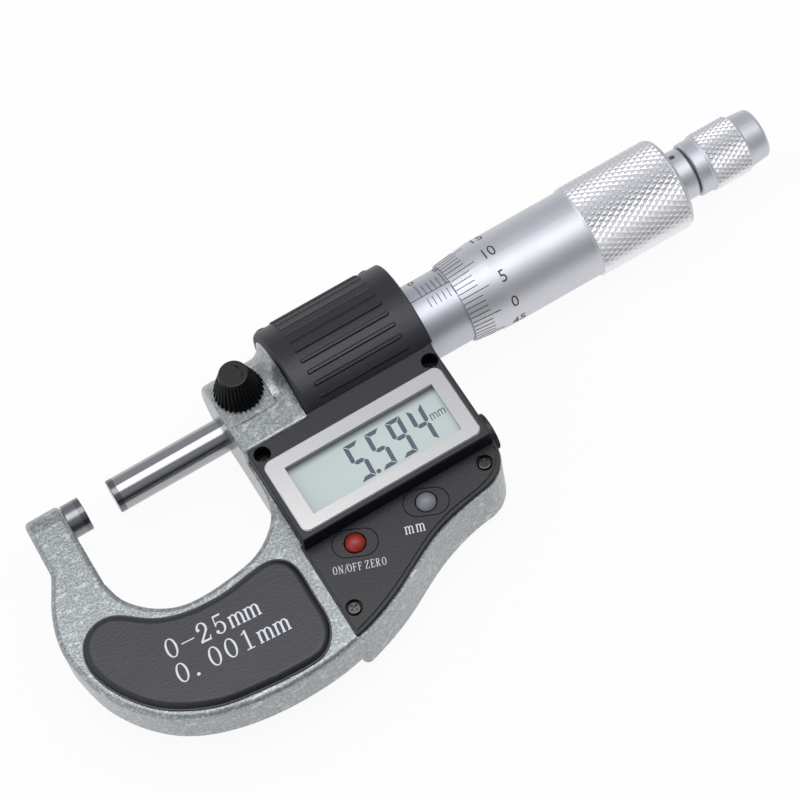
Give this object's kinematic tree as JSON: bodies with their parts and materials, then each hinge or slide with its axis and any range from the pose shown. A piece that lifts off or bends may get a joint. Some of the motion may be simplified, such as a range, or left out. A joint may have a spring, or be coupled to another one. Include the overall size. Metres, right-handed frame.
{
  "type": "digital outside micrometer",
  "caption": "Digital outside micrometer with hammertone bow frame, ribbed encoder cover, display block, lock knob, graduated thimble and ratchet.",
  "frame": {"origin": "centre of the anvil's measuring face", "axes": "+X along the spindle towards the ratchet, +Z out of the display, -Y from the measuring axis to the bow"},
  "size_m": [0.1565, 0.0633, 0.0266],
  "materials": {
    "hammertone": "hammertone paint, light grey",
    "polished_steel": "ground and polished",
    "carbide": "lapped",
    "satin_steel": "satin chrome",
    "bare_steel": "turned",
    "black_plastic": "fine matt",
    "silver_plastic": "silver paint",
    "lcd_glass": "grey-green display",
    "rubber_strip": "silicone",
    "board": "solder resist",
    "screw_steel": "blackened",
    "red_plastic": "moulded",
    "grey_plastic": "moulded",
    "brass": "turned",
    "black_rubber": "seal",
    "cell_steel": "pressed"
  },
  "bodies": {
    "frame": {"frame": "hammertone", "anvil": "polished_steel", "anvil_tip": "carbide", "sleeve": "satin_steel", "inner_tube": "bare_steel", "adjusting_nut": "bare_steel", "flange_screws": "screw_steel", "stator": "board", "front_cover": "black_plastic", "bezel": "silver_plastic", "lcd": "lcd_glass", "zebra_strip": "rubber_strip", "pcb": "board", "switch_red": "black_plastic", "switch_grey": "black_plastic", "cell": "cell_steel", "contact_spring": "bare_steel", "insert_red": "black_plastic", "insert_grey": "black_plastic", "front_screws": "screw_steel", "cover": "black_plastic", "cover_screws": "screw_steel", "grip_front": "black_plastic", "grip_back": "black_plastic"},
    "rotor": {"rotor": "board", "rotor_bush": "brass"},
    "spindle": {"spindle": "polished_steel", "spindle_tip": "carbide", "thimble": "satin_steel", "ratchet_stem": "satin_steel", "ratchet_screw": "screw_steel"},
    "ratchet": {"ratchet_knob": "satin_steel", "ratchet_pawl": "bare_steel", "ratchet_spring": "bare_steel"},
    "lock": {"lock_knob": "black_plastic", "lock_stem": "bare_steel"},
    "button_red": {"button_red": "red_plastic"},
    "button_grey": {"button_grey": "grey_plastic"},
    "battery_cap": {"battery_cap": "black_plastic", "cap_ring": "black_rubber"}
  },
  "joints": [
    {"name": "thimble_turn", "type": "hinge", "parent": "frame", "child": "rotor", "pos_m": [0, 0, 0], "axis": [1, 0, 0], "range_deg": [-4027.7, 13972.34]},
    {"name": "spindle_feed", "type": "slide", "parent": "rotor", "child": "spindle", "axis": [1, 0, 0], "range_m": [-0.00559, 0.01941]},
    {"name": "ratchet_turn", "type": "hinge", "parent": "spindle", "child": "ratchet", "pos_m": [0.13, 0, 0], "axis": [1, 0, 0], "continuous": true},
    {"name": "lock_turn", "type": "hinge", "parent": "frame", "child": "lock", "pos_m": [0.03355, 0.00167, 0.009], "axis": [0, 0, 1], "range_deg": [-60, 180]},
    {"name": "button_red_press", "type": "slide", "parent": "frame", "child": "button_red", "axis": [0, 0, -1], "range_m": [0, 0.0005], "stiffness_N_per_m": 1500},
    {"name": "button_grey_press", "type": "slide", "parent": "frame", "child": "button_grey", "axis": [0, 0, -1], "range_m": [0, 0.0005], "stiffness_N_per_m": 1500},
    {"name": "battery_cap_turn", "type": "hinge", "parent": "frame", "child": "battery_cap", "pos_m": [0.0665, -0.0251, -0.0006], "axis": [1, 0, 0], "range_deg": [0, 90]}
  ],
  "couplings": [
    {"joint": "thimble_turn", "follows": "spindle_feed", "rad_per_m": 12566}
  ]
}
